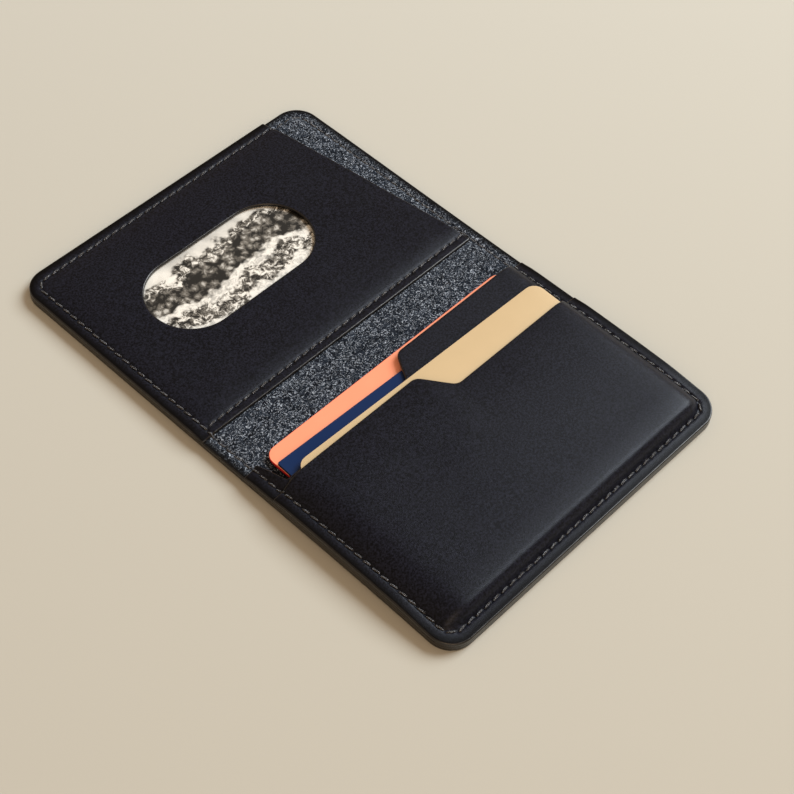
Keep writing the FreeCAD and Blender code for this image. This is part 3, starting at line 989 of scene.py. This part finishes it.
corner = size["corner"]
cut = size["cutRadius"]
end = size["endRadius"]
halfPlan = {
    -1: roundedOutline([(-halfWidth, -halfDepth, corner), (halfWidth, -halfDepth, corner), (halfWidth, 0, 0),
                        (-halfWidth, 0, 0)], mesh["outline"]),
    1: roundedOutline([(-halfWidth, 0, 0), (halfWidth, 0, 0), (halfWidth, halfDepth, corner),
                       (-halfWidth, halfDepth, corner)], mesh["outline"]),
}
frontStart, frontEnd = mouth["frontCut"]
frontPlan = roundedOutline([(-halfWidth, -halfDepth, corner), (halfWidth, -halfDepth, corner),
                            (halfWidth, mouth["frontLow"], end), (frontEnd, mouth["frontLow"], cut),
                            (frontStart, mouth["frontHigh"], cut), (-halfWidth, mouth["frontHigh"], end)],
                           mesh["outline"])
rearStart, rearEnd = mouth["rearCut"]
armInner = -halfWidth + mouth["armWidth"]
rearPlan = roundedOutline([(-halfWidth, rearEdge, end), (halfWidth, rearEdge, end),
                           (halfWidth, mouth["rearHigh"], end), (rearStart, mouth["rearHigh"], cut),
                           (rearEnd, mouth["rearLow"], cut),
                           (armInner + mouth["armSlope"], mouth["rearLow"], mouth["armCorner"]),
                           (armInner, mouth["armTop"], end), (-halfWidth, mouth["armTop"], end)],
                          mesh["outline"])
windowPlan = roundedOutline([(-halfWidth, windowStart, end), (mouthX(windowStart), windowStart, end),
                             (mouthX(halfDepth), halfDepth, end), (-halfWidth, halfDepth, corner)],
                            mesh["outline"])

# The window is an oval with straight long sides; a short straight is left between its end arcs.
opening = {"x": -6.5, "y": 43.5, "length": 52.0, "height": 25.0, "straight": 0.05}
openCentre = np.array((opening["x"], opening["y"]))
openHalf = np.array((opening["length"], opening["height"])) / 2
windowHole = roundedBox(openCentre - openHalf, openCentre + openHalf, openHalf[1] - opening["straight"],
                        mesh["outline"])[::-1]

rows = {"windowStart": 1.2, "rearHalf": 44.3}
windowRowY = windowStart + size["rowInsetWindow"]
windowRow = straightRow(-rowX + rows["windowStart"], mouthX(windowRowY), windowRowY)
rearRowY = (rearEdge + size["tiltStart"] - size["pocket"]) / 2
rearRow = straightRow(-rows["rearHalf"], rows["rearHalf"], rearRowY)
print("plans ready")


def placed(piece, body, nodes):
    # A finished piece rides on its body and stands for its nodes.
    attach(piece, body)
    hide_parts(*nodes)
    return piece


def bent(piece, nodes):
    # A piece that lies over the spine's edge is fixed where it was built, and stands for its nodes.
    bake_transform(piece)
    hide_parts(*nodes)
    return piece


# Cover and lining, each in two sheets that meet in the middle of the spine.

lining = {"press": 1.2, "covered": 0.3}


def coveredRound(x, y):
    # A lining edge is round where it shows and square under a pocket.
    margin = lining["covered"]
    shown = (y > rearLine(x) - margin) & ((y < windowStart + margin) | (x > mouthX(y) - margin))
    return np.where(shown, size["edgeRound"], size["seamRound"])


for side, half, label in ((-1, "card_half", "Card"), (1, "window_half", "Window")):
    plan = halfPlan[side]
    points = sheetPoints([plan])
    row = panelRow(side)
    spineNodes = {-1: ["outer_cover_spine", "lining_spine", "stitching_spine"], 1: []}[side]
    pressedUnder = stitched(underside, [row])
    coverPiece = sheetPiece("cover" + label, [plan], points, flatTop(size["cover"]),
                            lambda x, y: -pressedUnder(x, y), size["seamRound"], size["underRound"],
                            [materials["outer"], materials["edge"]], seam=0.0)
    bent(coverPiece, ["outer_cover_" + half] + spineNodes[:1])
    liningPiece = sheetPiece("lining" + label, [plan], points,
                             stitched(flatTop(liningTop), [row], lining["press"]), flatTop(size["cover"]),
                             coveredRound, size["seamRound"],
                             [materials["suede"], materials["edge"]], seam=0.0)
    bent(liningPiece, ["lining_" + half] + spineNodes[1:2])
    rowPlaces = row if side > 0 else row[1:-1]      # the stitch on the seam is made once
    inside = threadPiece("threadInside" + label, rowPlaces, layerTop, 1)
    bent(inside, ["stitching_" + half] + spineNodes[2:])
    outside = threadPiece("threadOutside" + label, rowPlaces, lambda x, y: archLift(y) + thread["flush"], -1)
    bent(outside, ["stitching_" + half])
print("cover and lining ready")

# Pockets.

pocketFinish = [materials["pocket"], materials["edge"]]
rearPress = 0.6     # the rear pocket is pressed less, under the front pocket's margin
frontPiece = sheetPiece("frontPocket", [frontPlan], sheetPoints([frontPlan]),
                        stitched(frontTop, [edgeRow(-1)]), frontBottom,
                        size["edgeRound"], size["seamRound"], pocketFinish)
placed(frontPiece, "card_panel", ["front_card_pocket"])
rearPiece = sheetPiece("rearPocket", [rearPlan], sheetPoints([rearPlan]),
                       stitched(rearTop, [edgeRow(-1)], rearPress), rearBottom,
                       size["edgeRound"], size["seamRound"], pocketFinish)
placed(rearPiece, "card_panel", ["rear_card_pocket"])
lineX = np.arange(-halfWidth, halfWidth, mesh["stitchStep"])
rowLines = [np.stack([lineX, np.full(len(lineX), windowRowY + away)], 1) for away in mesh["rowLines"]]
windowPiece = sheetPiece("windowPocket", [windowPlan, windowHole],
                         sheetPoints([windowPlan, windowHole], rowLines),
                         stitched(windowTop, [edgeRow(1), windowRow]), windowBottom,
                         size["edgeRound"], size["seamRound"], pocketFinish)
placed(windowPiece, "window_panel", ["window_pocket"])
windowThread = threadPiece("threadWindow", windowRow, windowTop, 1)
placed(windowThread, "window_panel", ["stitching_window_edge"])
rearThread = threadPiece("threadRear", rearRow, rearTop, 1)
placed(rearThread, "card_panel", ["stitching_rear_pocket"])
print("pockets ready")

# Cards and print.

cardSize = {
    "length": 85.6,
    "height": 53.98,
    "thickness": 0.76,
    "edgeRound": 0.09,
    "outline": 1.0,                 # spacing of the outline's points
    "inner": 0.5,                   # size of the ring of points inside
}
# Layers are heights of the lower faces above the lining, turns are in degrees.
cards = {
    "coral": {"layer": 0.10, "turn": 0.0, "corner": 3.18},
    "navy": {"layer": 0.96, "turn": -1.5, "corner": 0.5},
    "gold": {"layer": 2.82, "turn": -1.1, "corner": 3.18},
}


def stackLevel(height):
    # A level face of a card: its layer's tilted height and the stack's even lift.
    return lambda x, y: plateau(y, height) + arch["stack"]


for name, card in cards.items():
    low, high = nodeBox(name + "_card")
    centre = (low + high)[:2] / 2
    half = np.array((cardSize["length"], cardSize["height"])) / 2
    loop = roundedBox(-half, half, card["corner"], cardSize["outline"])
    angle = math.radians(card["turn"])
    turned = np.array(((math.cos(angle), math.sin(angle)), (-math.sin(angle), math.cos(angle))))
    loop = loop @ turned + centre
    inner = (loop - centre) * cardSize["inner"] + centre
    finishes = [cardMaterial(name + "Plastic", cardLook[name]["face"]),
                cardMaterial(name + "Edge", cardLook[name]["edge"])]
    piece = sheetPiece(name + "Card", [loop], inner, stackLevel(card["layer"] + cardSize["thickness"]),
                       stackLevel(card["layer"]), cardSize["edgeRound"], cardSize["edgeRound"], finishes)
    placed(piece, name + "_card_body", [name + "_card"])

paper = {"corner": 1.0, "outline": 1.0, "first": 1.5, "last": 1.0, "grid": 2.0, "edgeRound": 0.04}
low, high = nodeBox("window_print")
printPlan = roundedBox(low, high, paper["corner"], paper["outline"])
printX, printY = (np.arange(low[axis] + paper["first"], high[axis] - paper["last"], paper["grid"])
                  for axis in (0, 1))
printPiece = sheetPiece("windowPrint", [printPlan], np.stack(np.meshgrid(printX, printY), 2).reshape(-1, 2),
                        flatTop(high[2]), flatTop(low[2]), paper["edgeRound"], paper["edgeRound"],
                        [materials["print"], materials["print"]])
placed(printPiece, "print_body", ["window_print"])
print("cards and print ready")

# Floor, light and camera.

# The floor's colour goes from darker near the camera to lighter far off: painted light standing in for the
# lamps' fall-off across it.
floor = {
    "near": (0.476, 0.461, 0.399),
    "far": (0.566, 0.568, 0.515),
    "reach": 2.5,
    "way": (0.76, 0.65, 0.0),       # from near to far
    "fade": (-0.2, 0.25),
    "roughness": 0.85,
    "gloss": 0.15,
}
reach = floor["reach"]
floorData = bpy.data.meshes.new("floor")
floorData.from_pydata([(-reach, -reach, 0), (reach, -reach, 0), (reach, reach, 0), (-reach, reach, 0)], [],
                      [(0, 1, 2, 3)])
floorPiece = inScene("floor", floorData)
floorMaterial, floorTree, floorShader = newMaterial("paleCard", floor["roughness"], floor["gloss"])
floorWay = addNode(floorTree, "ShaderNodeVectorMath", {"operation": "DOT_PRODUCT"})
floorTree.links.new(objectPlace(floorTree), floorWay.inputs[0])
floorWay.inputs[1].default_value = floor["way"]
# Painted light: the share of the far, lighter colour grows away from the camera.
floorShare = spread(floorTree, floorWay.outputs["Value"], 0.0, 1.0, *floor["fade"])
plugged(floorTree, floorShader,
        Base_Color=ramp(floorTree, floorShare, [(0.0, floor["near"]), (1.0, floor["far"])]))
floorData.materials.append(floorMaterial)
print("floor ready")

lamps = {
    "key": {"way": (0.73, -0.15, 0.66), "distance": 2.5, "size": 1.6, "power": 82.0,
            "colour": (0.935, 0.985, 1.02)},
    "fill": {"way": (-0.55, -0.65, 0.6), "distance": 1.8, "size": 1.4, "power": 12.0,
             "colour": (1.0, 0.72, 0.48)},
}
sky = {"colour": (1.0, 0.74, 0.52, 1.0), "strength": 0.39}
for name, lamp in lamps.items():
    light = bpy.data.lights.new(name, "AREA")
    light.energy = lamp["power"]
    light.size = lamp["size"]
    light.color = lamp["colour"]
    holder = inScene(name, light)
    way = Vector(lamp["way"]).normalized()
    holder.location = way * lamp["distance"]
    holder.rotation_euler = way.to_track_quat("Z", "Y").to_euler()
world = bpy.data.worlds.new("studio")
bpy.context.scene.world = world
world.use_nodes = True
world.node_tree.nodes["Background"].inputs["Color"].default_value = sky["colour"]
world.node_tree.nodes["Background"].inputs["Strength"].default_value = sky["strength"]
print("lights ready")

# The camera looks at a target on the floor; angles in degrees, lengths in millimetres.
view = {
    "lens": 81.007,
    "sensor": 36.0,
    "azimuth": -49.518,
    "elevation": 52.416,
    "roll": 4.288,
    "distance": 451.54,
    "target": (-4.382, -15.695, 0.0),
    "clipStart": 0.01,              # metres
}
azimuth, elevation, roll = (math.radians(view[key]) for key in ("azimuth", "elevation", "roll"))
back = Vector((math.sin(azimuth) * math.cos(elevation), -math.cos(azimuth) * math.cos(elevation),
               math.sin(elevation)))
right = Vector((math.cos(azimuth), math.sin(azimuth), 0))
up = back.cross(right)
rolledRight = right * math.cos(roll) + up * math.sin(roll)
rolledUp = up * math.cos(roll) - right * math.sin(roll)
cameraData = bpy.data.cameras.new("camera")
cameraData.lens = view["lens"]
cameraData.sensor_width = view["sensor"]
cameraData.clip_start = view["clipStart"]
camera = inScene("camera", cameraData)
place = (Vector(view["target"]) + back * view["distance"]) / perMetre
turn = Matrix((rolledRight, rolledUp, back)).transposed()
camera.matrix_world = Matrix.Translation(place) @ turn.to_4x4()
bpy.context.scene.camera = camera
bpy.context.scene.view_settings.view_transform = "Standard"
print("camera ready")
